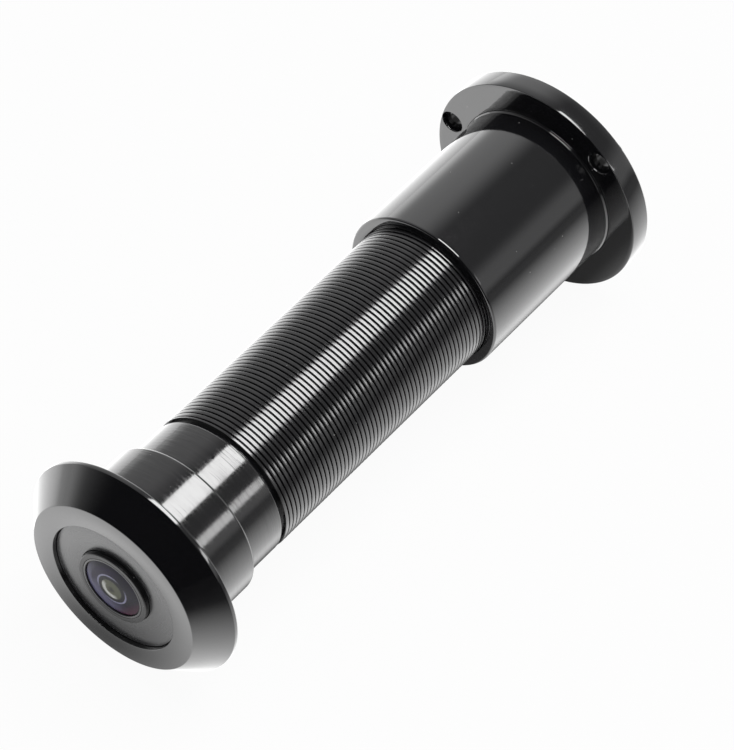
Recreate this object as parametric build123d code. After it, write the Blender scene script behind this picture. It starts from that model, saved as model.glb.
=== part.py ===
from build123d import *
from math import hypot, sqrt
import os

# Peephole door camera, laid along Y.
# The lens looks out along -Y, the room is on the +Y side and +Z is up.
# The origin is on the axis, on the face of the front cap that seats on the door.
# All lengths are in millimetres and all angles in degrees.

# General fits
overrun = 1.0
seat_clearance = 0.02
running_clearance = 0.04

# Threaded tube
thread_diameter = 14.0
smooth_step = 0.04
smooth_length = 4.4
relief_step = 0.45
relief_width = 0.55
spigot_step = 0.26
tube_wall = 1.6
front_wall = 1.14
plug_wall = 1.1
plug_bore_depth = 4.0
thread_end_chamfer = 0.3
tube_end = 50.5
gasket_thickness = 0.4

# Front cap
cap_diameter = 21.8
cap_height = 3.1
cap_bevel_width = 2.3
cap_rim_land = 0.42
cap_edge_break = 0.1
collar_wall = 0.65
collar_length = 6.2
collar_edge_break = 0.14
pocket_depth = 1.0
web_wall = 0.8

# Face disc and the seal behind it
disc_width = 2.85
disc_thickness = 0.4
disc_edge_break = 0.06
seal_section = 0.6
seal_setback = 0.9

# Lens barrel and its rings
barrel_diameter = 7.3
barrel_proud = 0.65
barrel_edge_break = 0.15
barrel_head_length = 4.35
barrel_thread_step = 0.15
front_seat_wall = 0.5
front_seat_depth = 1.8
tail_wall = 1.1
tail_room = 0.5
barrel_lip_thickness = 0.3
barrel_lip_width = 0.45
lock_ring_thickness = 0.5
lock_ring_width = 0.3
rear_lock_thickness = 0.7
focus_ring_thickness = 0.5
focus_gap = 0.1

# Glass and the rings between it
front_glass_sphere = 6.5
front_hollow_sphere = 2.3
front_hollow_diameter = 3.4
second_edge = 1.0
second_hollow_sphere = 3.0
second_hollow_diameter = 3.0
front_spacer_length = 0.6
front_spacer_width = 0.8
stop_thickness = 0.15
stop_hole = 1.2
third_edge = 0.8
third_sphere = 3.5
rear_edge = 1.0
rear_front_sphere = 5.0
rear_back_sphere = 4.0
rear_air_gap = 0.26
glass_seat_width = 0.5

# Lens holder and infrared filter
holder_wall = 1.1
holder_base_inset = 0.2
holder_base_height = 1.6
holder_thread_room = 0.3
filter_window_diameter = 4.4
filter_seat_width = 0.5
filter_thickness = 0.3
filter_gap = 0.2

# Image sensor
sensor_width = 4.4
sensor_height = 4.0
sensor_thickness = 0.8
sensor_glass_inset = 0.3
sensor_glass_thickness = 0.4
sensor_room_margin = 0.43

# Boards, spacers and screws
board_thickness = 0.8
sensor_board_gap = 0.06
processor_board_gap = 0.2
screw_edge_distance = 0.7
screw_diameter = 0.8
screw_head_diameter = 1.6
screw_head_height = 0.5
screw_depth_in_holder = 1.1
screw_slot_width = 0.22
screw_slot_depth = 0.25
spacer_diameter = 1.8
spacer_length = 3.6

# Parts on the boards: width, depth and place in Z as shares of the processor board's diameter
chip_shares = (0.42, 0.42, 0)
connector_shares = (0.48, 0.135, -0.335)
crystal_shares = (0.19, 0.115, 0.29)
capacitor_shares = (0.095, 0.05, -0.345)
capacitor_spacing_share = 0.125
socket_shares = (0.6, 0.29, 0)
chip_thickness = 0.7
crystal_thickness = 0.6
capacitor_thickness = 0.5
capacitor_count = 4
socket_height = 3.5
socket_wall = 0.5
socket_floor = 0.6
key_width = 1.6
pin_count = 4
pin_side = 0.4
pin_height = 2.6

# Back plug, its gasket and the cable grommet
plug_head_step = 0.5
plug_head_thickness = 1.0
plug_end_wall = 1.4
plug_skirt_wall = 0.8
plug_edge_break = 0.2
plug_slot_width = 1.2
plug_slot_depth = 0.6
plug_hole_diameter = 5.6
grommet_lip_width = 0.7
grommet_head_thickness = 0.7
grommet_lip_thickness = 0.6
grommet_taper = 0.25
cable_bore_diameter = 3.5

# Sleeve nut
sleeve_wall = 1.0
sleeve_reach = 16.65
sleeve_bore_clearance = 0.05
sleeve_edge_break = 0.14
journal_step = 0.3
coin_slot_width = 1.4
coin_slot_depth = 0.9

# Rear flange
door_thickness = 55.5
flange_overhang = 2.9
flange_thickness = 2.2
flange_edge_break = 0.16
sleeve_seat_depth = 0.1
sleeve_seat_gap = 0.1
hole_edge_distance = 1.2
hole_diameter = 2.0
hole_count = 3
hole_turn = 46.5

# Snap ring that keeps the flange on the sleeve, in a recess in the flange's back
snap_ring_width = 0.6
snap_ring_thickness = 0.5
snap_groove_depth = 0.25
snap_gap_angle = 40
recess_depth = 0.9

# Diameters of the tube, the cap and the sleeve, all set by the thread
smooth_diameter = thread_diameter - 2 * smooth_step
relief_diameter = thread_diameter - 2 * relief_step
cap_thread_diameter = thread_diameter - 2 * spigot_step
tube_bore_diameter = thread_diameter - 2 * tube_wall
front_bore_diameter = thread_diameter - 2 * front_wall
plug_bore_diameter = thread_diameter - 2 * plug_wall
plug_head_diameter = thread_diameter - 2 * plug_head_step
grommet_lip_diameter = plug_hole_diameter + 2 * grommet_lip_width
collar_diameter = thread_diameter + 2 * collar_wall
cap_face_diameter = cap_diameter - 2 * cap_bevel_width
pocket_diameter = barrel_diameter + 2 * disc_width
sleeve_diameter = thread_diameter + 2 * sleeve_wall
journal_diameter = sleeve_diameter - 2 * journal_step
snap_groove_diameter = journal_diameter - 2 * snap_groove_depth
snap_ring_diameter = journal_diameter + 2 * snap_ring_width
flange_diameter = sleeve_diameter + 2 * flange_overhang
hole_circle_diameter = flange_diameter - 2 * hole_edge_distance

# Diameters of the lens and its holder, set by the barrel
front_seat_diameter = barrel_diameter - 2 * front_seat_wall
barrel_thread_diameter = barrel_diameter - 2 * barrel_thread_step
inner_bore_diameter = barrel_thread_diameter - 2 * tail_wall
barrel_lip_bore = inner_bore_diameter - 2 * barrel_lip_width
lock_ring_bore = front_seat_diameter - 2 * lock_ring_width
front_spacer_bore = inner_bore_diameter - 2 * front_spacer_width
glass_clear_diameter = inner_bore_diameter - 2 * glass_seat_width
holder_diameter = barrel_thread_diameter + 2 * holder_wall
filter_diameter = filter_window_diameter + 2 * filter_seat_width
sensor_room_diameter = hypot(sensor_width, sensor_height) + 2 * sensor_room_margin

# Diameters of the boards, set by the tube's bores
sensor_board_diameter = front_bore_diameter - 2 * sensor_board_gap
processor_board_diameter = tube_bore_diameter - 2 * processor_board_gap
holder_base_diameter = sensor_board_diameter - 2 * holder_base_inset
screw_spacing = processor_board_diameter - 2 * screw_edge_distance


def sag(sphere, diameter):
    """Depth of a spherical cap of the given rim diameter."""
    return sphere - sqrt(sphere**2 - (diameter / 2) ** 2)


# Places along the axis, from the cap's face through the lens to its tail
cap_face = -cap_height
disc_back = cap_face + pocket_depth
disc_front = disc_back - disc_thickness
groove_front = disc_back + seal_setback
groove_back = groove_front + seal_section
cap_web_back = groove_back + web_wall
tube_front = cap_web_back + gasket_thickness
barrel_front = disc_front - barrel_proud
barrel_shoulder = barrel_front + barrel_head_length
front_glass_edge = barrel_front + lock_ring_thickness
front_glass_seat = barrel_front + front_seat_depth
second_front = front_glass_seat + barrel_lip_thickness
second_back = second_front + second_edge
stop_front = second_back + front_spacer_length
third_front = stop_front + stop_thickness
third_back = third_front + third_edge
third_bulge = sag(third_sphere, glass_clear_diameter)
rear_bulge = sag(rear_front_sphere, glass_clear_diameter)
rear_front = third_back + third_bulge + rear_air_gap + rear_bulge
rear_back = rear_front + rear_edge
rear_lock_back = rear_back + rear_lock_thickness
barrel_back = rear_lock_back + tail_room

# Places along the axis, from the holder to the boards
holder_front = barrel_shoulder + focus_gap + focus_ring_thickness
holder_thread_end = barrel_back + holder_thread_room
filter_front = holder_thread_end + filter_thickness
filter_back = filter_front + filter_thickness
sensor_glass_front = filter_back + filter_gap
sensor_front = sensor_glass_front + sensor_glass_thickness
sensor_board_front = sensor_front + sensor_thickness
sensor_board_back = sensor_board_front + board_thickness
processor_board_front = sensor_board_back + spacer_length
processor_board_back = processor_board_front + board_thickness

# Places along the axis, from the tube to the flange
smooth_end = collar_length + smooth_length
thread_start = smooth_end + relief_width
plug_bore_front = tube_end - plug_bore_depth
plug_seat = tube_end + gasket_thickness
plug_back = plug_seat + plug_head_thickness
flange_front = door_thickness
flange_back = flange_front + flange_thickness
sleeve_mouth = flange_front - sleeve_reach
sleeve_shoulder = flange_front + sleeve_seat_depth
recess_floor = flange_back - recess_depth
snap_ring_front = recess_floor + running_clearance
snap_ring_back = snap_ring_front + snap_ring_thickness


def turned(*outline):
    """Solid of revolution about the axis from points (radius, place along the axis)."""
    return revolve(make_face(Polyline(*outline, close=True)), Axis.Y)


def ring(outer, inner, start, end):
    """Plain ring between two diameters and two places along the axis."""
    return turned((inner / 2, start), (outer / 2, start), (outer / 2, end), (inner / 2, end))


def rod(diameter, start, end, x=0, z=0):
    """Round rod along Y at a sideways place."""
    return Pos(x, start, z) * extrude(Plane.XZ * Circle(diameter / 2), start - end)


def block(width, depth, start, end, x=0, z=0):
    """Rectangular block along Y, its width across X and its depth across Z."""
    return Pos(x, (start + end) / 2, z) * Box(width, end - start, depth)


def lens(diameter, front, back, front_curve=None, back_curve=None):
    """Glass between two rim planes; a curve is (sphere radius, rim diameter, bulge sign)."""
    outline = []
    for place, curve in ((front, front_curve), (back, back_curve)):
        if curve is None:
            outline.append(([(0, place)], []))
            continue
        sphere, rim, sign = curve
        depth = sag(sphere, rim)
        half = place + sign * (depth - sag(sphere, rim / 2))
        outline.append(([(0, place + sign * depth), (rim / 4, half), (rim / 2, place)], curve))
    edges = Curve()
    (front_points, front_arc), (back_points, back_arc) = outline
    if front_arc:
        edges += ThreePointArc(*front_points)
    if back_arc:
        edges += ThreePointArc(*back_points)
    edges += Polyline(front_points[-1], (diameter / 2, front), (diameter / 2, back), back_points[-1])
    edges += Line(back_points[0], front_points[0])
    return revolve(make_face(edges), Axis.Y)


def front_cap():
    """Turned cap: flat face, bevel, thin rim, collar and the pocket for the face disc."""
    rim, collar, pocket = cap_diameter / 2, collar_diameter / 2, pocket_diameter / 2
    barrel_hole = barrel_diameter / 2 + running_clearance
    groove = barrel_diameter / 2 + seal_section
    return turned(
        (pocket, cap_face),
        (cap_face_diameter / 2, cap_face),
        (rim, -cap_rim_land),
        (rim, -cap_edge_break),
        (rim - cap_edge_break, 0),
        (collar, 0),
        (collar, collar_length - collar_edge_break),
        (collar - collar_edge_break, collar_length),
        (cap_thread_diameter / 2, collar_length),
        (cap_thread_diameter / 2, cap_web_back),
        (barrel_hole, cap_web_back),
        (barrel_hole, groove_back),
        (groove, groove_back),
        (groove, groove_front),
        (barrel_hole, groove_front),
        (barrel_hole, disc_back),
        (pocket, disc_back),
    )


def face_disc():
    """Satin disc in the pocket round the lens."""
    outer = pocket_diameter / 2 - running_clearance
    inner = barrel_diameter / 2 + running_clearance
    return turned(
        (inner, disc_front),
        (outer - disc_edge_break, disc_front),
        (outer, disc_front + disc_edge_break),
        (outer, disc_back),
        (inner, disc_back),
    )


def lens_seal():
    """Round-section ring between the cap and the lens barrel."""
    radius = seal_section / 2 - seat_clearance
    middle = barrel_diameter / 2 + seal_section / 2
    place = groove_front + seal_section / 2
    return revolve(Pos(middle, place) * Circle(radius), Axis.Y)


def lens_barrel():
    """Barrel that carries the glass: head in the cap, threaded tail in the holder."""
    head, tail = barrel_diameter / 2, barrel_thread_diameter / 2
    return turned(
        (front_seat_diameter / 2, barrel_front),
        (head - barrel_edge_break, barrel_front),
        (head, barrel_front + barrel_edge_break),
        (head, barrel_shoulder),
        (tail, barrel_shoulder),
        (tail, barrel_back),
        (inner_bore_diameter / 2, barrel_back),
        (inner_bore_diameter / 2, second_front),
        (barrel_lip_bore / 2, second_front),
        (barrel_lip_bore / 2, front_glass_seat),
        (front_seat_diameter / 2, front_glass_seat),
    )


def glass_stack():
    """Glass and rings of the lens, in order from the door side inwards."""
    front_fit = front_seat_diameter - 2 * seat_clearance
    inner_fit = inner_bore_diameter - 2 * seat_clearance
    front_dome = (front_glass_sphere, lock_ring_bore - 2 * seat_clearance, -1)
    front_hollow = (front_hollow_sphere, front_hollow_diameter, -1)
    second_hollow = (second_hollow_sphere, second_hollow_diameter, -1)
    third_dome = (third_sphere, glass_clear_diameter, 1)
    rear_domes = (
        (rear_front_sphere, glass_clear_diameter, -1),
        (rear_back_sphere, glass_clear_diameter, 1),
    )
    return {
        "lens_lock_ring": ring(front_fit, lock_ring_bore, barrel_front, front_glass_edge),
        "front_lens": lens(front_fit, front_glass_edge, front_glass_seat, front_dome, front_hollow),
        "second_lens": lens(inner_fit, second_front, second_back, None, second_hollow),
        "front_spacer": ring(inner_fit, front_spacer_bore, second_back, stop_front),
        "aperture_stop": ring(inner_fit, stop_hole, stop_front, third_front),
        "third_lens": lens(inner_fit, third_front, third_back, None, third_dome),
        "rear_spacer": ring(inner_fit, barrel_lip_bore, third_back, rear_front),
        "rear_lens": lens(inner_fit, rear_front, rear_back, *rear_domes),
        "rear_lock_ring": ring(inner_fit, barrel_lip_bore, rear_back, rear_lock_back),
    }


def focus_ring():
    """Ring on the barrel's thread that locks its focus against the holder."""
    bore = barrel_thread_diameter + 2 * seat_clearance
    return ring(holder_diameter, bore, holder_front - focus_ring_thickness, holder_front)


def lens_holder():
    """Holder that stands on the sensor board and takes the barrel's thread."""
    thread = barrel_thread_diameter / 2 + seat_clearance
    base_front = sensor_board_front - holder_base_height
    body = turned(
        (thread, holder_front),
        (holder_diameter / 2, holder_front),
        (holder_diameter / 2, base_front),
        (holder_base_diameter / 2, base_front),
        (holder_base_diameter / 2, sensor_board_front),
        (sensor_room_diameter / 2, sensor_board_front),
        (sensor_room_diameter / 2, filter_back),
        (filter_diameter / 2, filter_back),
        (filter_diameter / 2, filter_front),
        (filter_window_diameter / 2, filter_front),
        (filter_window_diameter / 2, holder_thread_end),
        (thread, holder_thread_end),
    )
    hole = screw_diameter + 2 * seat_clearance
    depth = screw_depth_in_holder + seat_clearance
    for x in screw_places():
        body -= rod(hole, sensor_board_front - depth, sensor_board_front + overrun, x)
    return body


def infrared_filter():
    """Thin filter glass in its recess in the holder, in front of the sensor."""
    return rod(filter_diameter - 2 * seat_clearance, filter_front, filter_back)


def screw_places():
    """Places of the two board screws across X."""
    return (-screw_spacing / 2, screw_spacing / 2)


def drilled(board):
    """Board with the two screw holes through it."""
    hole = screw_diameter + 2 * seat_clearance
    for x in screw_places():
        board -= rod(hole, sensor_board_front - overrun, processor_board_back + overrun, x)
    return board


def sensor_board():
    """Round board on the shelf in the tube."""
    return drilled(rod(sensor_board_diameter, sensor_board_front, sensor_board_back))


def processor_board():
    """Second round board behind the sensor board."""
    return drilled(rod(processor_board_diameter, processor_board_front, processor_board_back))


def image_sensor():
    """Square sensor package on the front of its board."""
    return block(sensor_width, sensor_height, sensor_front, sensor_board_front)


def sensor_glass():
    """Cover glass on the sensor package."""
    width = sensor_width - 2 * sensor_glass_inset
    height = sensor_height - 2 * sensor_glass_inset
    return block(width, height, sensor_glass_front, sensor_front)


def board_spacers():
    """Two round spacers that hold the boards apart."""
    bore = screw_diameter + 2 * seat_clearance
    post = ring(spacer_diameter, bore, sensor_board_back, processor_board_front)
    return Compound([Pos(x, 0, 0) * post for x in screw_places()])


def board_screws():
    """Two long slotted screws through both boards into the holder."""
    head_back = processor_board_back + screw_head_height
    tip = sensor_board_front - screw_depth_in_holder
    screw = rod(screw_head_diameter, processor_board_back, head_back)
    screw += rod(screw_diameter, tip, processor_board_back)
    slot_floor = head_back - screw_slot_depth
    screw -= block(screw_head_diameter + overrun, screw_slot_width, slot_floor, head_back + overrun)
    return Compound([Pos(x, 0, 0) * screw for x in screw_places()])


def board_part(shares, start, end, x=0):
    """Block on a board, with its width, depth and place in Z as shares of the processor board."""
    width, depth, z = (share * processor_board_diameter for share in shares)
    return block(width, depth, start, end, x, z)


def processor_chip():
    """Square processor on the front of its board."""
    return board_part(chip_shares, processor_board_front - chip_thickness, processor_board_front)


def board_connector():
    """Stacking connector between the two boards."""
    return board_part(connector_shares, sensor_board_back, processor_board_front)


def crystal():
    """Clock crystal on the back of the processor board."""
    return board_part(crystal_shares, processor_board_back, processor_board_back + crystal_thickness)


def row_places(count, spacing):
    """Places across X of a centred row."""
    return [(number - (count - 1) / 2) * spacing for number in range(count)]


def filter_capacitors():
    """Row of capacitors along the lower edge of the processor board."""
    back = processor_board_back + capacitor_thickness
    spacing = capacitor_spacing_share * processor_board_diameter
    places = row_places(capacitor_count, spacing)
    return Compound([board_part(capacitor_shares, processor_board_back, back, x) for x in places])


def pin_places():
    """Places of the socket's pins across X, spread over its room."""
    room = socket_shares[0] * processor_board_diameter - 2 * socket_wall
    return row_places(pin_count, room / pin_count)


def cable_socket():
    """Open-topped socket for the cable's connector, with a key slot in one long wall."""
    back = processor_board_back + socket_height
    floor = processor_board_back + socket_floor
    width, depth, z = (share * processor_board_diameter for share in socket_shares)
    body = board_part(socket_shares, processor_board_back, back)
    body -= block(width - 2 * socket_wall, depth - 2 * socket_wall, floor, back + overrun, 0, z)
    body -= block(key_width, 2 * socket_wall, floor, back + overrun, 0, z + depth / 2)
    for x in pin_places():
        hole = pin_side + 2 * seat_clearance
        body -= block(hole, hole, processor_board_back - overrun, floor + overrun, x)
    return body


def socket_pins():
    """Row of square pins in the socket."""
    back = processor_board_back + pin_height
    return Compound([block(pin_side, pin_side, processor_board_back, back, x) for x in pin_places()])


def tube_gasket():
    """Flat gasket between the cap's web and the front end of the tube."""
    outer = cap_thread_diameter - 2 * running_clearance
    return ring(outer, front_bore_diameter, cap_web_back, tube_front)


def threaded_tube():
    """Body tube: front spigot in the cap, smooth length, relief and the long thread."""
    spigot = cap_thread_diameter / 2 - running_clearance
    thread = thread_diameter / 2
    return turned(
        (front_bore_diameter / 2, tube_front),
        (spigot, tube_front),
        (spigot, collar_length),
        (smooth_diameter / 2, collar_length),
        (smooth_diameter / 2, smooth_end),
        (relief_diameter / 2, smooth_end),
        (relief_diameter / 2, thread_start),
        (thread, thread_start),
        (thread, tube_end - thread_end_chamfer),
        (thread - thread_end_chamfer, tube_end),
        (plug_bore_diameter / 2, tube_end),
        (plug_bore_diameter / 2, plug_bore_front),
        (tube_bore_diameter / 2, plug_bore_front),
        (tube_bore_diameter / 2, sensor_board_back),
        (front_bore_diameter / 2, sensor_board_back),
    )


def plug_gasket():
    """Flat gasket under the head of the back plug."""
    return ring(plug_head_diameter, plug_bore_diameter, tube_end, plug_seat)


def back_plug():
    """Screw-in plug that closes the tube, slotted across its head."""
    skirt = plug_bore_diameter / 2 - running_clearance
    head = plug_head_diameter / 2
    wall_front = plug_back - plug_end_wall
    body = turned(
        (plug_hole_diameter / 2, wall_front),
        (skirt - plug_skirt_wall, wall_front),
        (skirt - plug_skirt_wall, plug_bore_front + seat_clearance),
        (skirt, plug_bore_front + seat_clearance),
        (skirt, plug_seat),
        (head, plug_seat),
        (head, plug_back - plug_edge_break),
        (head - plug_edge_break, plug_back),
        (plug_hole_diameter / 2, plug_back),
    )
    slots = block(
        plug_head_diameter + overrun, plug_slot_width, plug_back - plug_slot_depth, plug_back + overrun
    )
    keep = rod(grommet_lip_diameter + 2 * running_clearance, tube_end, plug_back + 2 * overrun)
    return body - (slots - keep)


def cable_grommet():
    """Rubber grommet in the back plug, with the bore that the cable leaves by."""
    neck = plug_hole_diameter / 2 - seat_clearance
    lip = grommet_lip_diameter / 2
    bore = cable_bore_diameter / 2
    wall_front = plug_back - plug_end_wall
    head_back = plug_back + grommet_head_thickness
    return turned(
        (bore, wall_front - grommet_lip_thickness),
        (lip - grommet_taper, wall_front - grommet_lip_thickness),
        (lip, wall_front),
        (neck, wall_front),
        (neck, plug_back),
        (lip, plug_back),
        (lip - grommet_taper, head_back),
        (bore, head_back),
    )


def sleeve_nut():
    """Smooth sleeve nut: chamfered mouth, shoulder, journal, ring groove and coin slots."""
    outer = sleeve_diameter / 2
    journal = journal_diameter / 2
    groove = snap_groove_diameter / 2
    bore = thread_diameter / 2 + sleeve_bore_clearance
    body = turned(
        (bore, sleeve_mouth),
        (outer - sleeve_edge_break, sleeve_mouth),
        (outer, sleeve_mouth + sleeve_edge_break),
        (outer, sleeve_shoulder),
        (journal, sleeve_shoulder),
        (journal, snap_ring_front - seat_clearance),
        (groove, snap_ring_front - seat_clearance),
        (groove, snap_ring_back + seat_clearance),
        (journal, snap_ring_back + seat_clearance),
        (journal, flange_back),
        (bore, flange_back),
    )
    width = journal_diameter + overrun
    return body - block(width, coin_slot_width, flange_back - coin_slot_depth, flange_back + overrun)


def snap_ring():
    """Flat split ring in the sleeve's groove, which keeps the flange on."""
    inner = snap_groove_diameter / 2 + seat_clearance
    outer = snap_ring_diameter / 2
    front, back = snap_ring_front, snap_ring_back
    section = make_face(Polyline((inner, front), (outer, front), (outer, back), (inner, back), close=True))
    return revolve(section, Axis.Y, 360 - snap_gap_angle)


def rear_flange():
    """Plate against the door: seat and hole for the sleeve, ring recess and screw holes."""
    outer = flange_diameter / 2
    seat = sleeve_diameter / 2 + sleeve_seat_gap
    bore = journal_diameter / 2 + running_clearance
    recess = snap_ring_diameter / 2 + running_clearance
    body = turned(
        (seat, flange_front),
        (outer - flange_edge_break, flange_front),
        (outer, flange_front + flange_edge_break),
        (outer, flange_back - flange_edge_break),
        (outer - flange_edge_break, flange_back),
        (recess, flange_back),
        (recess, recess_floor),
        (bore, recess_floor),
        (bore, sleeve_shoulder),
        (seat, sleeve_shoulder),
    )
    start, end = flange_front - overrun, flange_back + overrun
    hole = rod(hole_diameter, start, end, hole_circle_diameter / 2)
    for number in range(hole_count):
        body -= Rot(0, -hole_turn - number * 360 / hole_count, 0) * hole
    return body


def build():
    """All pieces by name, in order from the lens to the room."""
    pieces = {
        "front_cap": front_cap(),
        "face_disc": face_disc(),
        "lens_seal": lens_seal(),
        "lens_barrel": lens_barrel(),
    }
    pieces.update(glass_stack())
    pieces.update({
        "focus_ring": focus_ring(),
        "lens_holder": lens_holder(),
        "infrared_filter": infrared_filter(),
        "sensor_glass": sensor_glass(),
        "image_sensor": image_sensor(),
        "sensor_board": sensor_board(),
        "board_spacers": board_spacers(),
        "board_connector": board_connector(),
        "processor_chip": processor_chip(),
        "processor_board": processor_board(),
        "board_screws": board_screws(),
        "crystal": crystal(),
        "filter_capacitors": filter_capacitors(),
        "cable_socket": cable_socket(),
        "socket_pins": socket_pins(),
        "tube_gasket": tube_gasket(),
        "threaded_tube": threaded_tube(),
        "plug_gasket": plug_gasket(),
        "back_plug": back_plug(),
        "cable_grommet": cable_grommet(),
        "sleeve_nut": sleeve_nut(),
        "snap_ring": snap_ring(),
        "rear_flange": rear_flange(),
    })
    return pieces


os.makedirs("parts", exist_ok=True)
for name, solid in build().items():
    export_step(solid, f"parts/{name}.step")
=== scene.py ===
import math

import bmesh
import bpy
import numpy as np
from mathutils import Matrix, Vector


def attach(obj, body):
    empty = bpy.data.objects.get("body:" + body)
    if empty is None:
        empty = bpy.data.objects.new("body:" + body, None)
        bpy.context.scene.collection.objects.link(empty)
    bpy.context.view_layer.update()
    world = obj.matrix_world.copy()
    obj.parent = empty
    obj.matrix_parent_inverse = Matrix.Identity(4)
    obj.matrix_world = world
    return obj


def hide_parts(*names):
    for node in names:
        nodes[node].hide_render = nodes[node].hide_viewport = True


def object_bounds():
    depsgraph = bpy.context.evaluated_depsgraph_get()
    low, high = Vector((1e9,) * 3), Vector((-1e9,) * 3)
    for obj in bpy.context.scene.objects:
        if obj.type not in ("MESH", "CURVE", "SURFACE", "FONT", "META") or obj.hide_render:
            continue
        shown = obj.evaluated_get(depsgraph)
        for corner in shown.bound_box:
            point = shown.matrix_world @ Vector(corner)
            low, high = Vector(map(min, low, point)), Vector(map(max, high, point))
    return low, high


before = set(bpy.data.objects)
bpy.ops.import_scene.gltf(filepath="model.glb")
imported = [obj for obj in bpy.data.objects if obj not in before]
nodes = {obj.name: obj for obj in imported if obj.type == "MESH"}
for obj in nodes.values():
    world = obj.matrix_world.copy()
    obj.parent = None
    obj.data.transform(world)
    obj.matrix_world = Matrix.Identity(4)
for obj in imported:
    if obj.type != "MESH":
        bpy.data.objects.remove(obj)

cad_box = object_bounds()


# The picture. The camera looks down on the lens end from the front right, as in the photograph,
# from about a third of a metre away. Sizes and places are in millimetres, and MM makes them metres.
MM = 0.001
CAMERA_PLACE = (143.7, -152.2, 262.2)
CAMERA_FORWARD = (-0.4064, 0.518, -0.7524)
CAMERA_DEGREES = 10.4
CAMERA_NEAR, CAMERA_FAR = 10, 50000
STRAIGHT_DOWN = 1e-6

camera_data = bpy.data.cameras.new("camera")
camera_data.sensor_fit = "HORIZONTAL"
camera_data.angle = math.radians(CAMERA_DEGREES)
camera_data.clip_start = CAMERA_NEAR * MM
camera_data.clip_end = CAMERA_FAR * MM
camera = bpy.data.objects.new("camera", camera_data)
bpy.context.scene.collection.objects.link(camera)


def look_along(thing, place, forward):
    """Puts a camera or lamp at a place, its -Z axis along forward and its X axis level.

    Its X axis is forward x (0, 0, 1), or (1, 0, 0) where that vanishes, and its Y axis is
    X x forward.
    """
    ahead = np.array(forward, float) / np.linalg.norm(forward)
    right = np.cross(ahead, (0, 0, 1))
    if np.linalg.norm(right) < STRAIGHT_DOWN:
        right = np.array((1.0, 0, 0))
    right /= np.linalg.norm(right)
    matrix = np.eye(4)
    matrix[:3, 0], matrix[:3, 1], matrix[:3, 2] = right, np.cross(right, ahead), -ahead
    matrix[:3, 3] = np.array(place) * MM
    thing.matrix_world = matrix.T.tolist()


look_along(camera, CAMERA_PLACE, CAMERA_FORWARD)
bpy.context.scene.camera = camera
bpy.context.scene.view_settings.view_transform = "Standard"


# The floor. It is plain white and keeps the object's soft shadow. Polished surfaces see it as white too, with
# painted shadows that make it darker under the object and in front of its face, and painted light that falls
# off to the right.
FLOOR_SIZE, FLOOR_GAP = 6000, 0.01
FLOOR_WHITE = 0.92
FLOOR_GLOW = 0.95
FLOOR_MIRRORED = 1.9
# Its mirrored light is painted light, halved at the reach to the right. It keeps at least the far share, and
# what the distance to the front takes from it stays under a limit.
FLOOR_REACH, FLOOR_FAR, FLOOR_FRONT_LIMIT = 34 * MM, 0.12, 0.6
# The painted shadow band under the object: its sides, the width of the edges beyond them, how much narrower
# the right edge is, and where along the object the band begins and is complete.
BAND_LEFT, BAND_RIGHT, BAND_EDGE, BAND_NARROWER = -7 * MM, 4.5 * MM, 8 * MM, 1.3
BAND_START, BAND_DEPTH = (0, 6 * MM), 0.9
# The painted shadow ellipse in front of the face: its middle, its half axes, and where it begins and is
# complete, as shares of them.
SPOT_PLACE, SPOT_SIZE = (-3.3 * MM, -4.5 * MM), (9 * MM, 5 * MM)
SPOT_EDGE, SPOT_DEPTH = (1.7, 0.1), 0.8
# The painted shadow in the corner at the front right: where it begins and is complete, to the right and the
# front.
CORNER_RIGHT, CORNER_FRONT, CORNER_DEPTH = (11 * MM, 44 * MM), (0, -6 * MM), 0.88


class Wiring:
    """Makes and joins the nodes of one node tree; most methods return the socket of their result."""

    def __init__(self, tree):
        """Takes the tree that the nodes go into."""
        self.tree = tree

    def add(self, kind, inputs=None, **settings):
        """New node with its own settings, and with links, numbers or colours for its inputs."""
        node = self.tree.nodes.new(kind)
        for name, value in settings.items():
            setattr(node, name, value)
        for name, value in (inputs or {}).items():
            self.give(node.inputs[name], value)
        return node

    def give(self, socket, value):
        """Links a socket to another one, or sets its number, its vector or its opaque colour."""
        if isinstance(value, bpy.types.NodeSocket):
            self.tree.links.new(value, socket)
        elif socket.type == "RGBA":
            socket.default_value = (*value, 1)
        else:
            socket.default_value = value

    def place(self):
        """The object's own coordinates, in metres."""
        return self.add("ShaderNodeTexCoord").outputs["Object"]

    def parts(self, vector):
        """X, Y and Z of a vector."""
        return self.add("ShaderNodeSeparateXYZ", {0: vector}).outputs

    def across_axis(self, scale=1):
        """X and Z of the object's coordinates times a scale, as a vector, and that vector's length."""
        factors = {0: self.place(), 1: (scale, 0, scale)}
        across = self.add("ShaderNodeVectorMath", factors, operation="MULTIPLY").outputs[0]
        length = self.add("ShaderNodeVectorMath", {0: across}, operation="LENGTH").outputs["Value"]
        return across, length

    def maths(self, operation, first, second=0):
        """Result of one operation on two sockets or numbers."""
        return self.add("ShaderNodeMath", {0: first, 1: second}, operation=operation).outputs[0]

    def steps(self, value, *steps):
        """Result of steps (operation, socket or number) that follow each other, from a first value."""
        for operation, second in steps:
            value = self.maths(operation, value, second)
        return value

    def smooth_step(self, value, low, high):
        """Smooth rise from 0 to 1 while a value goes from low to high."""
        limits = {"Value": value, "From Min": low, "From Max": high}
        return self.add("ShaderNodeMapRange", limits, interpolation_type="SMOOTHSTEP").outputs["Result"]

    def blend(self, share, first, second):
        """Colour that goes from the first to the second with a share from 0 to 1."""
        colours = {"Factor": share, "A": first, "B": second}
        return self.add("ShaderNodeMix", colours, data_type="RGBA").outputs["Result"]

    def mix(self, share, first, second):
        """Shader that goes from the first to the second with a share from 0 to 1."""
        return self.add("ShaderNodeMixShader", {0: share, 1: first, 2: second}).outputs[0]

    def shader(self, kind, inputs):
        """Shader of a kind, with links, numbers or colours for its inputs."""
        return self.add(kind, inputs).outputs[0]


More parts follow.
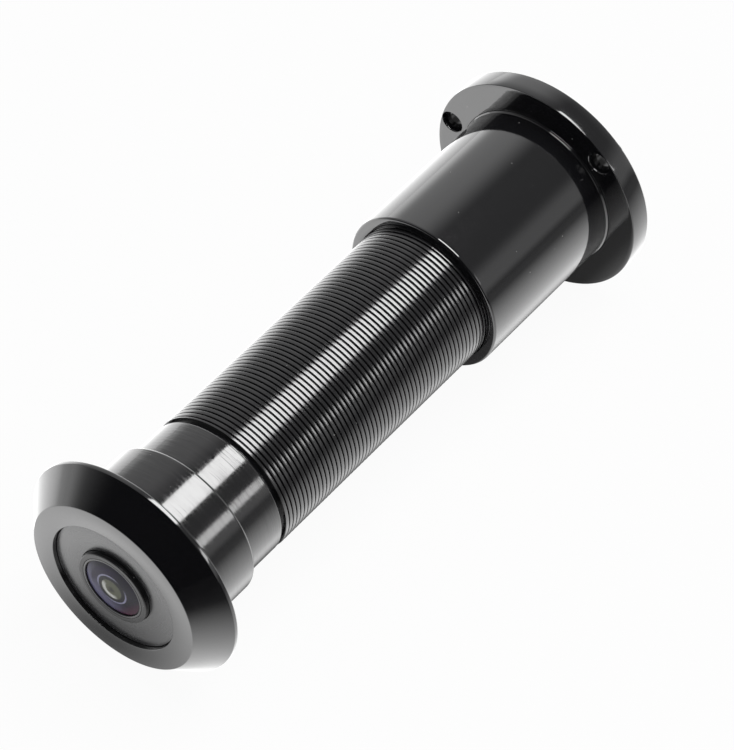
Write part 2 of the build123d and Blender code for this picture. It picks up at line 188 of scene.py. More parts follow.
def new_material(name):
    """Empty node material, its wiring and the socket that takes its shader."""
    material = bpy.data.materials.new(name)
    material.use_nodes = True
    material.node_tree.nodes.clear()
    wire = Wiring(material.node_tree)
    return material, wire, wire.add("ShaderNodeOutputMaterial").inputs["Surface"]


floor_material, wire, surface = new_material("white_floor")
ray = wire.add("ShaderNodeLightPath").outputs
floor_x, floor_y, _ = wire.parts(wire.place())
# Painted light: to the right and to the front its mirrored light falls off with the square of the distance.
beside = wire.steps(floor_x, ("MAXIMUM", 0), ("DIVIDE", FLOOR_REACH), ("POWER", 2))
before = wire.steps(
    floor_y, ("SUBTRACT", cad_box[0][1]), ("MINIMUM", 0), ("DIVIDE", FLOOR_REACH), ("POWER", 2),
    ("MINIMUM", FLOOR_FRONT_LIMIT),
)
falling = wire.maths("DIVIDE", 1, wire.steps(beside, ("ADD", before), ("ADD", 1)))
painted_floor_light = wire.maths("MAXIMUM", falling, FLOOR_FAR)
left_of = wire.steps(floor_x, ("MULTIPLY", -1), ("ADD", BAND_LEFT))
right_of = wire.steps(floor_x, ("SUBTRACT", BAND_RIGHT), ("MULTIPLY", BAND_NARROWER))
within = wire.smooth_step(wire.maths("MAXIMUM", left_of, right_of), BAND_EDGE, 0)
painted_shadow_band = wire.maths("MULTIPLY", within, wire.smooth_step(floor_y, *BAND_START))
across, along = (
    wire.steps(value, ("SUBTRACT", middle), ("DIVIDE", half_axis), ("POWER", 2))
    for value, middle, half_axis in zip((floor_x, floor_y), SPOT_PLACE, SPOT_SIZE)
)
painted_shadow_spot = wire.smooth_step(wire.steps(across, ("ADD", along), ("POWER", 0.5)), *SPOT_EDGE)
painted_shadow_corner = wire.maths(
    "MULTIPLY", wire.smooth_step(floor_x, *CORNER_RIGHT), wire.smooth_step(floor_y, *CORNER_FRONT),
)
# Each painted shadow leaves 1 - its depth x its darkness of the light.
for darkness, depth in ((painted_shadow_band, BAND_DEPTH), (painted_shadow_spot, SPOT_DEPTH), (painted_shadow_corner, CORNER_DEPTH)):
    painted_floor_light = wire.maths("MULTIPLY", painted_floor_light, wire.steps(darkness, ("MULTIPLY", -depth), ("ADD", 1)))
matt = wire.shader("ShaderNodeBsdfDiffuse", {"Color": (FLOOR_WHITE, FLOOR_WHITE, FLOOR_WHITE)})
white = wire.shader("ShaderNodeEmission", {"Color": (1, 1, 1)})
# Mirrored rays see the floor pale and glowing, with its painted light and painted shadows.
pale = wire.shader("ShaderNodeBsdfDiffuse", {"Color": painted_floor_light})
glow = wire.shader("ShaderNodeEmission", {"Strength": wire.maths("MULTIPLY", painted_floor_light, FLOOR_MIRRORED)})
both = wire.shader("ShaderNodeAddShader", {0: pale, 1: glow})
seen = wire.mix(wire.maths("MULTIPLY", ray["Is Camera Ray"], FLOOR_GLOW), matt, white)
mirrored = wire.maths("MAXIMUM", ray["Is Glossy Ray"], ray["Is Transmission Ray"])
wire.give(surface, wire.mix(mirrored, seen, both))

floor_z = min(corner[2] for corner in cad_box) - FLOOR_GAP * MM
half = FLOOR_SIZE * MM / 2
floor_mesh = bpy.data.meshes.new("floor")
floor_mesh.from_pydata(
    [(-half, -half, floor_z), (half, -half, floor_z), (half, half, floor_z), (-half, half, floor_z)],
    [], [(0, 1, 2, 3)],
)
floor_mesh.materials.append(floor_material)
floor = bpy.data.objects.new("floor", floor_mesh)
bpy.context.scene.collection.objects.link(floor)


# The room. It gives an even grey light. In polished surfaces it shows pale on the left, more so
# towards the back and the horizon, and dark in front, behind the camera.
ROOM_LIGHT = 0.32
ROOM_BASE = 0.24
ROOM_LEFT = 0.45
ROOM_HORIZON = 0.78
ROOM_BACK_LEFT = 0.55
ROOM_BACK_HORIZON = 1.0
ROOM_BACK = 0.8
ROOM_RIGHT = 0.5
# Where each of them starts and is complete, as parts of a direction whose length is 1.
LEFT_SIDE = (-0.05, -0.55)
FRONT_SIDE = (-0.66, -0.3)
HORIZON_HEIGHT = (0.27, 0.0)
BACK_LEFT_SIDE, BACK_HORIZON_HEIGHT = (0.47, 0.58), (0.35, 0.0)
BACK_SIDE = (0.62, 0.85)
RIGHT_SIDE, RIGHT_TOP, RIGHT_FOOT = (0.45, 0.75), (0.6, 0.3), (-0.02, 0.16)

world = bpy.data.worlds.new("room")
bpy.context.scene.world = world
world.use_nodes = True
world.node_tree.nodes.clear()
wire = Wiring(world.node_tree)
to_right, to_back, up = wire.parts(wire.add("ShaderNodeTexCoord").outputs["Generated"])
height = wire.maths("ABSOLUTE", up)
back_left = wire.steps(
    wire.smooth_step(height, *BACK_HORIZON_HEIGHT), ("MULTIPLY", ROOM_BACK_HORIZON),
    ("ADD", ROOM_BACK_LEFT), ("MULTIPLY", wire.smooth_step(to_back, *BACK_LEFT_SIDE)),
)
horizon = wire.maths("MULTIPLY", wire.smooth_step(height, *HORIZON_HEIGHT), ROOM_HORIZON)
back = wire.maths("MULTIPLY", wire.smooth_step(to_back, *BACK_SIDE), ROOM_BACK)
right = wire.steps(
    wire.smooth_step(to_right, *RIGHT_SIDE), ("MULTIPLY", wire.smooth_step(up, *RIGHT_TOP)),
    ("MULTIPLY", wire.smooth_step(up, *RIGHT_FOOT)), ("MULTIPLY", ROOM_RIGHT),
)
mirrored_room = wire.steps(
    back_left, ("ADD", horizon), ("ADD", ROOM_LEFT), ("MULTIPLY", wire.smooth_step(to_right, *LEFT_SIDE)),
    ("ADD", back), ("ADD", right), ("ADD", ROOM_BASE), ("MULTIPLY", wire.smooth_step(to_back, *FRONT_SIDE)),
)
ray = wire.add("ShaderNodeLightPath").outputs
plain, mirror, white = (
    wire.shader("ShaderNodeBackground", {"Color": (1, 1, 1), "Strength": strength})
    for strength in (ROOM_LIGHT, mirrored_room, 1)
)
lit = wire.mix(ray["Is Glossy Ray"], plain, mirror)
behind = wire.maths("MAXIMUM", ray["Is Camera Ray"], ray["Is Transmission Ray"])
wire.add("ShaderNodeOutputWorld", {"Surface": wire.mix(behind, lit, white)})


# The lamps. A long soft box hangs overhead and a small soft panel stands at the right. The black
# gloss mirrors them as bright strips. A plain lamp in the place of the soft box lights matt surfaces.
OVERHEAD_PLACE, OVERHEAD_AIM, OVERHEAD_SIZE = (65, 82, 300), (65, 82, 0), (174, 258)
RIGHT_PLACE, RIGHT_AIM, RIGHT_SIZE = (313, 182, 157), (0, -30, 0), (85, 73)
OVERHEAD_MIRRORED, OVERHEAD_LIGHT, RIGHT_MIRRORED = 11.5, 4.9, 5.5


def soft_panel(name, place, aim, size, brightness, mirrored=True, diffuse=True):
    """Rectangular lamp aimed at a point; brightness is what a perfect mirror shows of it.

    Its power is pi times its area times its brightness.
    """
    lamp_data = bpy.data.lights.new(name, "AREA")
    lamp_data.shape = "RECTANGLE"
    lamp_data.size, lamp_data.size_y = size[0] * MM, size[1] * MM
    lamp_data.energy = brightness * math.pi * size[0] * size[1] * MM * MM
    lamp = bpy.data.objects.new(name, lamp_data)
    lamp.visible_glossy, lamp.visible_diffuse = mirrored, diffuse
    bpy.context.scene.collection.objects.link(lamp)
    look_along(lamp, place, np.array(aim, float) - np.array(place, float))


overhead = (OVERHEAD_PLACE, OVERHEAD_AIM, OVERHEAD_SIZE)
soft_panel("overhead_panel", *overhead, OVERHEAD_MIRRORED, diffuse=False)
soft_panel("overhead_light", *overhead, OVERHEAD_LIGHT, mirrored=False)
soft_panel("right_panel", RIGHT_PLACE, RIGHT_AIM, RIGHT_SIZE, RIGHT_MIRRORED, diffuse=False)


# Front cap: one piece of aluminium, turned, polished and anodised black. It has a flat face, a
# wide bevel, a thin rim and the plain collar that enters the hole in the door.
# Places along the axis count from the outer face of the door, where the back of the rim bears.
FACE_RADIUS, FACE = 8.6, -3.1
CAP_RADIUS, RIM_FRONT = 10.9, -0.42
COLLAR_RADIUS, COLLAR_START, COLLAR_END = 7.65, 0.02, 6.2
POCKET_RADIUS, POCKET_FLOOR = 6.5, -2.1
TUBE_SEAT_RADIUS, TUBE_SEAT = 6.74, 0.2
BARREL_HOLE = 3.69
BROKEN_EDGE = 0.03
FILLET_POINTS = 5
TURNED_COLUMNS = 288
# Lengths below the first two count as none, and the weight keeps large faces flat in shading.
TINY, WELD, FACE_WEIGHT = 1e-12, 0.0001, 100
BLACK_DYE = (0.006, 0.006, 0.007)
SHEEN_ROUGHNESS = 0.25
# Lathe marks: this stretch of their noise makes them 0.1 mm wide and a few millimetres long. The
# roughness follows the noise over this range.
MARK_STRETCH, MARK_RANGE, MICROMETRE = (380, 9000, 380), (0.35, 0.7), 0.001 * MM
# Dust: its cells, 800 to a metre, are 1.25 mm wide, and the limit leaves most of them empty.
DUST_CELLS, DUST_LIMIT, DUST_COLOUR = 800, 0.72, (0.3, 0.3, 0.29)


def rounded(corners):
    """Closed outline in (radius, y) from corners (radius, y, fillet), each rounded by an arc.

    An arc begins and ends at fillet / tan(half the corner's angle) from the corner, and its
    points lie at the fillet's radius from the centre that touches both sides.
    """
    corner = np.array(corners, float)
    point, fillet = corner[:, :2], corner[:, 2:]
    before, after = np.roll(point, 1, 0) - point, np.roll(point, -1, 0) - point
    before /= np.linalg.norm(before, axis=1, keepdims=True)
    after /= np.linalg.norm(after, axis=1, keepdims=True)
    half_angle = np.arccos(np.clip((before * after).sum(1, keepdims=True), -1, 1)) / 2
    reach = fillet / np.tan(half_angle)
    middle = before + after
    middle /= np.linalg.norm(middle, axis=1, keepdims=True)
    centre = (point + middle * fillet / np.sin(half_angle))[:, None]
    share = np.linspace(0, 1, FILLET_POINTS)[None, :, None]
    spoke = (point + before * reach)[:, None] * (1 - share) + (point + after * reach)[:, None] * share
    spoke -= centre
    spoke /= np.maximum(np.linalg.norm(spoke, axis=2, keepdims=True), TINY)
    return (centre + spoke * fillet[:, None]).reshape(-1, 2)


def cut_away(mesh, low, high):
    """Mesh without the box between two corners."""
    part = bpy.data.objects.new("part", mesh)
    box_mesh = bpy.data.meshes.new("box")
    box = bmesh.new()
    bmesh.ops.create_cube(box, size=MM)
    bmesh.ops.scale(box, vec=tuple(np.subtract(high, low)), verts=box.verts)
    bmesh.ops.translate(box, vec=tuple(np.add(high, low) / 2 * MM), verts=box.verts)
    box.to_mesh(box_mesh)
    box.free()
    cutter = bpy.data.objects.new("cutter", box_mesh)
    for thing in (part, cutter):
        bpy.context.scene.collection.objects.link(thing)
    cut = part.modifiers.new("cut", "BOOLEAN")
    cut.object, cut.operation, cut.solver = cutter, "DIFFERENCE", "EXACT"
    result = bpy.data.meshes.new_from_object(part.evaluated_get(bpy.context.evaluated_depsgraph_get()))
    for thing in (part, cutter):
        bpy.data.objects.remove(thing)
    for left_over in (mesh, box_mesh):
        bpy.data.meshes.remove(left_over)
    return result


def piece_from(name, points, faces, smooth_angle=32, boxes=()):
    """Object from points and faces, less some boxes; only edges below an angle are shaded smooth."""
    mesh = bpy.data.meshes.new(name)
    corners = [tuple(dict.fromkeys(face)) for face in np.asarray(faces).tolist()]
    mesh.from_pydata(np.asarray(points) * MM, [], [face for face in corners if len(face) > 2])
    shell = bmesh.new()
    shell.from_mesh(mesh)
    bmesh.ops.remove_doubles(shell, verts=shell.verts, dist=WELD * MM)
    bmesh.ops.dissolve_degenerate(shell, edges=shell.edges, dist=WELD * MM)
    bmesh.ops.delete(shell, geom=[edge for edge in shell.edges if not edge.link_faces], context="EDGES")
    bmesh.ops.recalc_face_normals(shell, faces=shell.faces)
    if shell.calc_volume(signed=True) < 0:
        bmesh.ops.reverse_faces(shell, faces=shell.faces)
    shell.to_mesh(mesh)
    shell.free()
    for low, high in boxes:
        mesh = cut_away(mesh, low, high)
    mesh.name = name
    mesh.shade_smooth()
    mesh.set_sharp_from_angle(angle=math.radians(smooth_angle))
    piece = bpy.data.objects.new(name, mesh)
    bpy.context.scene.collection.objects.link(piece)
    true_faces = piece.modifiers.new("true_faces", "WEIGHTED_NORMAL")
    true_faces.keep_sharp = True
    true_faces.weight = FACE_WEIGHT
    return piece


def ring_faces(rows, columns, beside=lambda row, column: row):
    """Quads of a grid that closes on itself both ways, from row i and column j to the next ones.

    Where a row of one column meets another row in the next column, beside gives that row.
    """
    i, j = np.meshgrid(np.arange(rows), np.arange(columns), indexing="ij")
    next_i, next_j = (i + 1) % rows, (j + 1) % columns
    return np.stack([
        i * columns + j, beside(i, j) * columns + next_j,
        beside(next_i, j) * columns + next_j, next_i * columns + j,
    ], 2).reshape(-1, 4)


def angles_of(columns, start=0.0):
    """Angles of a turned grid's columns, evenly spaced round the axis from a start in degrees."""
    return np.radians(np.arange(columns) * 360 / columns + start)


def turned(outline, angles):
    """Points of an outline turned about Y: (radius cos a, y, radius sin a), outline row by row."""
    radius, place = outline[:, :1], outline[:, 1:]
    return np.stack([radius * np.cos(angles), place + 0 * angles, radius * np.sin(angles)], 2).reshape(-1, 3)


def turned_piece(name, outline, columns=TURNED_COLUMNS):
    """Solid turned about Y from a closed outline of (radius, y); an outline may touch the axis."""
    return piece_from(name, turned(outline, angles_of(columns)), ring_faces(len(outline), columns))


def new_group(name, inputs, outputs):
    """Node group with numbers as inputs, its wiring, its inputs' sockets and those that it fills.

    outputs gives the kind of socket for each name.
    """
    group = bpy.data.node_groups.new(name, "ShaderNodeTree")
    for socket in inputs:
        group.interface.new_socket(socket, in_out="INPUT", socket_type="NodeSocketFloat")
    for socket, kind in outputs.items():
        group.interface.new_socket(socket, in_out="OUTPUT", socket_type=kind)
    wire = Wiring(group)
    return group, wire, wire.add("NodeGroupInput").outputs, wire.add("NodeGroupOutput").inputs


# Lathe marks: a noise drawn out round the axis, on faces and sides alike, that varies the
# roughness and tilts the surface. Its place is (x, y + distance from the axis, z), stretched.
turning_marks, wire, given, made = new_group(
    "turning_marks", ("Low", "High", "Depth"),
    {"Roughness": "NodeSocketFloat", "Normal": "NodeSocketVector"},
)
x, y, z = wire.parts(wire.place())
_, reach = wire.across_axis()
joined = wire.add("ShaderNodeCombineXYZ", {"X": x, "Y": wire.maths("ADD", y, reach), "Z": z}).outputs[0]
stretched = wire.add("ShaderNodeMapping", {"Vector": joined, "Scale": MARK_STRETCH}).outputs[0]
noise = wire.add("ShaderNodeTexNoise", {"Vector": stretched, "Scale": 1, "Detail": 1}).outputs["Fac"]
spread = wire.add("ShaderNodeMapRange", {
    "Value": noise, "From Min": MARK_RANGE[0], "From Max": MARK_RANGE[1],
    "To Min": given["Low"], "To Max": given["High"],
})
depth = wire.maths("MULTIPLY", given["Depth"], MICROMETRE)
bump = wire.add("ShaderNodeBump", {"Strength": 1, "Distance": depth, "Height": noise})
wire.give(made["Roughness"], spread.outputs["Result"])
wire.give(made["Normal"], bump.outputs["Normal"])

# Dust: small pale specks, one in the middle of some of the cells of a Voronoi pattern. Size is
# their radius as a share of a cell.
dust, wire, given, made = new_group("dust", ("Size",), {"Mask": "NodeSocketFloat"})
cells = wire.add("ShaderNodeTexVoronoi", {"Vector": wire.place(), "Scale": DUST_CELLS}).outputs
chance = wire.add("ShaderNodeSeparateColor", {0: cells["Color"]}).outputs[0]
near = wire.maths("LESS_THAN", cells["Distance"], given["Size"])
rare = wire.maths("GREATER_THAN", chance, DUST_LIMIT)
wire.give(made["Mask"], wire.maths("MULTIPLY", near, rare))


def anodised(name, colour, rough, depth, ior=1.7, speck=0.04, sheen=0.0):
    """Dyed anodised aluminium: dark colour under a clear oxide, with lathe marks and a little dust.

    The roughness goes from the first of rough to the second along the marks, whose depth is in
    micrometres.
    """
    material, wire, surface = new_material(name)
    low, high = rough
    marks = wire.add("ShaderNodeGroup", {"Low": low, "High": high, "Depth": depth}, node_tree=turning_marks)
    specks = wire.add("ShaderNodeGroup", {"Size": speck}, node_tree=dust)
    wire.give(surface, wire.shader("ShaderNodeBsdfPrincipled", {
        "Base Color": wire.blend(specks.outputs["Mask"], colour, DUST_COLOUR),
        "Roughness": marks.outputs["Roughness"],
        "Normal": marks.outputs["Normal"],
        "IOR": ior,
        "Sheen Weight": sheen,
        "Sheen Roughness": SHEEN_ROUGHNESS,
    }))
    return material


def dress(piece, material, body, replaced):
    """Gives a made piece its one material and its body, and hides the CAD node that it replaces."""
    piece.data.materials.clear()
    piece.data.materials.append(material)
    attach(piece, body)
    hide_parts(replaced)


def dress_behind(piece, material, start):
    """Gives the faces whose middles lie behind a place on the axis a second material."""
    piece.data.materials.append(material)
    middles = np.empty(len(piece.data.polygons) * 3)
    piece.data.polygons.foreach_get("center", middles)
    piece.data.polygons.foreach_set("material_index", (middles[1::3] > start * MM).astype(np.int32))


gloss_black = anodised("gloss_black_anodising", BLACK_DYE, rough=(0.06, 0.15), depth=0.5)
collar_black = anodised("turned_black_anodising", BLACK_DYE, rough=(0.07, 0.17), depth=7)
cap = turned_piece("front_cap_body", rounded([
    (POCKET_RADIUS, FACE, 0.05),
    (FACE_RADIUS, FACE, 0.12),
    (CAP_RADIUS, RIM_FRONT, 0.14),
    (CAP_RADIUS, 0, 0.12),
    (COLLAR_RADIUS, 0, 0.05),
    (COLLAR_RADIUS, COLLAR_END, 0.3),
    (TUBE_SEAT_RADIUS, COLLAR_END, BROKEN_EDGE),
    (TUBE_SEAT_RADIUS, TUBE_SEAT, BROKEN_EDGE),
    (BARREL_HOLE, TUBE_SEAT, BROKEN_EDGE),
    (BARREL_HOLE, POCKET_FLOOR, BROKEN_EDGE),
    (POCKET_RADIUS, POCKET_FLOOR, BROKEN_EDGE),
]))
dress(cap, gloss_black, "camera", "front_cap")
dress_behind(cap, collar_black, COLLAR_START)


# Face disc: a thin disc of aluminium with a satin black finish, pressed into the cap's pocket
# round the lens. Its edges are lightly broken, and a fine gap shows round it.
DISC_FACE, DISC_GAP = -2.68, 0.04
satin_black = anodised("satin_disc_finish", (0.04, 0.04, 0.042), rough=(0.265, 0.275), depth=0, ior=1.58)
disc = turned_piece("satin_disc", rounded([
    (BARREL_HOLE, DISC_FACE, 0.04),
    (POCKET_RADIUS - DISC_GAP, DISC_FACE, 0.06),
    (POCKET_RADIUS - DISC_GAP, POCKET_FLOOR, BROKEN_EDGE),
    (BARREL_HOLE, POCKET_FLOOR, BROKEN_EDGE),
]))
dress(disc, satin_black, "camera", "face_disc")


# Lens barrel: a turned tube of aluminium, dyed black, that carries the glass. It stands a little
# proud of the face disc, and its rear half screws into the holder over the sensor.
BARREL_RADIUS, BARREL_FRONT, BARREL_STEP = 3.65, -3.15, 1.2
BARREL_REAR_RADIUS, BARREL_BACK = 3.5, 4.89
MOUTH_RADIUS, GLASS_SEAT = 3.15, -1.35
SEAT_HOLE, SEAT_BACK, BARREL_BORE = 1.95, -1.05, 2.4
barrel_black = anodised("barrel_finish", (0.012, 0.012, 0.013), rough=(0.2, 0.35), depth=0.5, ior=1.35)
barrel = turned_piece("lens_barrel_body", rounded([
    (MOUTH_RADIUS, BARREL_FRONT, 0.05),
    (BARREL_RADIUS, BARREL_FRONT, 0.12),
    (BARREL_RADIUS, BARREL_STEP, BROKEN_EDGE),
    (BARREL_REAR_RADIUS, BARREL_STEP, BROKEN_EDGE),
    (BARREL_REAR_RADIUS, BARREL_BACK, 0.05),
    (BARREL_BORE, BARREL_BACK, BROKEN_EDGE),
    (BARREL_BORE, SEAT_BACK, BROKEN_EDGE),
    (SEAT_HOLE, SEAT_BACK, BROKEN_EDGE),
    (SEAT_HOLE, GLASS_SEAT, BROKEN_EDGE),
    (MOUTH_RADIUS, GLASS_SEAT, BROKEN_EDGE),
]))
dress(barrel, barrel_black, "camera", "lens_barrel")


# Lock ring: a thin turned ring of aluminium, anodised grey. It is screwed into the barrel's
# mouth over the edge of the front glass.
RING_HOLE, RING_GAP, RING_BACK = 2.94, 0.02, -2.67
ring_grey = anodised("lock_ring_finish", (0.03, 0.03, 0.033), rough=(0.2, 0.3), depth=0.5, ior=1.45)
lock_ring = turned_piece("lens_lock_ring_body", rounded([
    (RING_HOLE, BARREL_FRONT, 0.05),
    (MOUTH_RADIUS - RING_GAP, BARREL_FRONT, 0.03),
    (MOUTH_RADIUS - RING_GAP, RING_BACK, 0.02),
    (RING_HOLE, RING_BACK, 0.02),
]))
dress(lock_ring, ring_grey, "camera", "lens_lock_ring")


# Front glass: the fisheye's outer lens, ground, polished and coated, with a hollow back. It rests on the
# barrel's seat under the lock ring. Its colour is a painted image of the lenses behind it, close under its
# surface: a pale ring round an olive middle, with painted light, shade and highlights.
GLASS_FACE_RADIUS, GLASS_FACE, GLASS_BULGE = 2.9, -3.0, 0.24
GLASS_RADIUS, GLASS_SHOULDER, GLASS_BACK = 3.12, -2.66, -1.37
HOLLOW_RADIUS, HOLLOW_DEPTH = 1.7, 0.75
GLASS_COLUMNS = 96
DIAGONAL = math.sqrt(0.5)
# The painted image: its radii, then its colours, each with the stretch over which it comes in.
RING_RADIUS, RING_BLUR, PUPIL_RADIUS, PUPIL_BLUR, CRESCENT_INSET = 1.5, 0.1, 0.95, 0.2, 0.12
# The pale violet is painted light, the wine red a painted glint and the deep violet painted shade.
VIOLET_NIGHT, PAINTED_PALE_LIGHT, PALE_STRETCH = (0.005, 0.004, 0.018), (0.21, 0.21, 0.28), (-0.6, 2.9)
PAINTED_RED_GLINT, RED_STRETCH = (0.12, 0.035, 0.06), (1.6, 2.9)
PAINTED_DEEP_SHADE, DEEP_STRETCH, DEEP_EDGE = (0.014, 0.006, 0.04), (-0.6, -1.7), (2.55, 2.1)
# The pale ring is a painted reflection.
PAINTED_RING_REFLECTION, RING_EDGE, RING_STRETCH = (0.42, 0.43, 0.5), (0.12, 0.03), (0.2, 1.2)
DARK_OLIVE, OLIVE, OLIVE_STRETCH = (0.05, 0.055, 0.035), (0.16, 0.175, 0.09), (0.05, 0.5)
DARK_GLASS, BLACK_RIM, RIM_WIDTH = (0.012, 0.013, 0.018), (0.01, 0.01, 0.012), 0.12
# The crescent is a painted highlight.
PAINTED_GLINT_COLOUR, CRESCENT_EDGE, CRESCENT_STRETCH = (0.95, 1.0, 0.75), (0.3, 0.1), (-0.1, 0.6)
HAZE_SCALE, HAZE_LOW, HAZE_SPREAD = 900, 0.3, 0.12


def dome(rim, place, bulge, steps=20):
    """Arc of a sphere in (radius, y), from the axis at y = place - bulge to the rim at y = place.

    Its sphere has the radius (rim^2 + bulge^2) / (2 bulge).
    """
    radius = np.linspace(0, rim, steps + 1)
    sphere = (rim**2 + bulge**2) / (2 * bulge)
    return np.stack([radius, place - bulge + sphere - np.sqrt(sphere**2 - radius**2)], 1)


coated_glass, wire, surface = new_material("coated_glass")
across, radius = wire.across_axis(1 / MM)
x, _, z = wire.parts(across)
lower_left = wire.steps(x, ("ADD", z), ("MULTIPLY", -DIAGONAL))
lower_right = wire.steps(x, ("SUBTRACT", z), ("MULTIPLY", DIAGONAL))
# Outside the ring: painted light at the lower left, a painted red glint at the lower right and painted deep
# shade at the upper left.
outer = wire.blend(wire.smooth_step(lower_left, *PALE_STRETCH), VIOLET_NIGHT, PAINTED_PALE_LIGHT)
outer = wire.blend(wire.smooth_step(lower_right, *RED_STRETCH), outer, PAINTED_RED_GLINT)
deep_shade_mask = wire.maths(
    "MULTIPLY", wire.smooth_step(lower_right, *DEEP_STRETCH), wire.smooth_step(radius, *DEEP_EDGE),
)
outer = wire.blend(deep_shade_mask, outer, PAINTED_DEEP_SHADE)
# Inside it: the painted olive pupil with a painted crescent highlight at the lower left, in dark glass.
pupil = wire.blend(wire.smooth_step(radius, *OLIVE_STRETCH), DARK_OLIVE, OLIVE)
inner = wire.blend(wire.smooth_step(radius, PUPIL_RADIUS, PUPIL_RADIUS + PUPIL_BLUR), pupil, DARK_GLASS)
from_edge = wire.steps(radius, ("SUBTRACT", PUPIL_RADIUS - CRESCENT_INSET), ("ABSOLUTE", 0))
painted_glint = wire.maths(
    "MULTIPLY", wire.smooth_step(from_edge, *CRESCENT_EDGE), wire.smooth_step(lower_left, *CRESCENT_STRETCH),
)
inner = wire.blend(painted_glint, inner, PAINTED_GLINT_COLOUR)
image = wire.blend(wire.smooth_step(radius, RING_RADIUS - RING_BLUR, RING_RADIUS + RING_BLUR), inner, outer)
# The ring is a painted reflection, a thin band brightest at the upper left and the lower right.
from_ring = wire.steps(radius, ("SUBTRACT", RING_RADIUS), ("ABSOLUTE", 0))
sides = wire.smooth_step(wire.maths("ABSOLUTE", lower_right), *RING_STRETCH)
image = wire.blend(wire.maths("MULTIPLY", wire.smooth_step(from_ring, *RING_EDGE), sides), image, PAINTED_RING_REFLECTION)
rim = wire.smooth_step(radius, GLASS_FACE_RADIUS - RIM_WIDTH, GLASS_FACE_RADIUS)
image = wire.blend(rim, image, BLACK_RIM)
haze = wire.add("ShaderNodeTexNoise", {"Vector": wire.place(), "Scale": HAZE_SCALE}).outputs["Fac"]
wire.give(surface, wire.shader("ShaderNodeBsdfPrincipled", {
    "Base Color": image,
    "Roughness": wire.steps(haze, ("MULTIPLY", HAZE_SPREAD), ("ADD", HAZE_LOW)),
    "Specular IOR Level": 0,
    "Coat Weight": 1,
    "Coat Roughness": 0.02,
    "Coat IOR": 1.16,
    "Coat Tint": (0.88, 0.86, 1),
}))
front_glass = turned_piece("front_lens_body", np.concatenate([
    dome(GLASS_FACE_RADIUS, GLASS_FACE, GLASS_BULGE),
    [(GLASS_FACE_RADIUS, GLASS_SHOULDER), (GLASS_RADIUS, GLASS_SHOULDER), (GLASS_RADIUS, GLASS_BACK)],
    dome(HOLLOW_RADIUS, GLASS_BACK, HOLLOW_DEPTH)[::-1],
]), GLASS_COLUMNS)
dress(front_glass, coated_glass, "camera", "front_lens")


# Threaded tube: aluminium, turned, threaded and anodised black. Its front end screws into the cap.
# Behind the cap it is smooth, then comes a relief groove, and from there a fine right-handed thread.
PITCH = 0.5
THREAD_START, THREAD_END = 11.15, 50.5
CREST, ROOT = 7.0, 6.72
# One turn, as shares of the pitch and of the depth: a wide crest with soft edges that rises a
# little to the back, and a narrow groove.
SECTION_PLACES = (0.0, 0.02, 0.045, 0.08, 0.58, 0.61, 0.635, 0.66, 0.78, 0.82, 0.86, 0.90)
SECTION_DEPTHS = (0.36, 0.20, 0.135, 0.12, 0.0, 0.01, 0.05, 0.15, 0.95, 1.0, 1.0, 0.95)
SPIGOT_RADIUS, TUBE_FRONT = 6.7, 0.6
TUBE_RADIUS, SMOOTH_END, RELIEF_RADIUS = 6.96, 10.6, 6.55
FRONT_BORE, FRONT_BORE_END, TUBE_BORE = 5.86, 8.0, 5.4
PLUG_BORE, PLUG_SEAT, BACK_CHAMFER = 5.9, 46.5, 0.05
# The outline of the front leads on to this corner, which is left out of it again.
NEXT_CORNER = (5.0, 30.0, 0.0)
TUBE_COLUMNS, SMOOTH_BELOW = 96, 30


def threaded_rows(columns):
    """Places and radii of the thread's rows, each of which runs once round along the helix.

    A row at share s of turn k lies at y = start + pitch (k + s - a / 360) at the angle a, held
    between the thread's ends, with the radius that the thread's section has there.
    """
    turns = int((THREAD_END - THREAD_START) / PITCH) + 2
    lead = -PITCH * np.arange(columns) / columns
    row = (np.arange(turns + 1)[:, None] + np.array(SECTION_PLACES)).reshape(-1, 1) * PITCH + THREAD_START
    place = np.clip(row + lead, THREAD_START, THREAD_END)
    phase = (place - THREAD_START - lead) / PITCH % 1
    depth = np.interp(phase, (*SECTION_PLACES, 1), (*SECTION_DEPTHS, SECTION_DEPTHS[0]))
    return place, CREST - (CREST - ROOT) * depth


front = rounded([
    (FRONT_BORE, TUBE_FRONT, 0.02),
    (SPIGOT_RADIUS, TUBE_FRONT, 0.02),
    (SPIGOT_RADIUS, COLLAR_END, 0.02),
    (TUBE_RADIUS, COLLAR_END, 0.10),
    (TUBE_RADIUS, SMOOTH_END, 0.12),
    (RELIEF_RADIUS, SMOOTH_END, BROKEN_EDGE),
    (RELIEF_RADIUS, THREAD_START, BROKEN_EDGE),
    NEXT_CORNER,
])[:-FILLET_POINTS]
back = np.array([
    (RELIEF_RADIUS, THREAD_END),
    (PLUG_BORE + BACK_CHAMFER, THREAD_END),
    (PLUG_BORE, THREAD_END - BACK_CHAMFER),
    (PLUG_BORE, PLUG_SEAT),
    (TUBE_BORE, PLUG_SEAT),
    (TUBE_BORE, FRONT_BORE_END),
    (FRONT_BORE, FRONT_BORE_END),
])
front_rows, back_rows = (np.repeat(rows.T[:, :, None], TUBE_COLUMNS, 2) for rows in (front, back))
place, radius = threaded_rows(TUBE_COLUMNS)
radii = np.concatenate([front_rows[0], radius, back_rows[0]])
places = np.concatenate([front_rows[1], place, back_rows[1]])
first_of_thread, first_of_back = len(front), len(front) + len(place)
angles = angles_of(TUBE_COLUMNS)
points = np.stack([radii * np.cos(angles), places, radii * np.sin(angles)], 2).reshape(-1, 3)


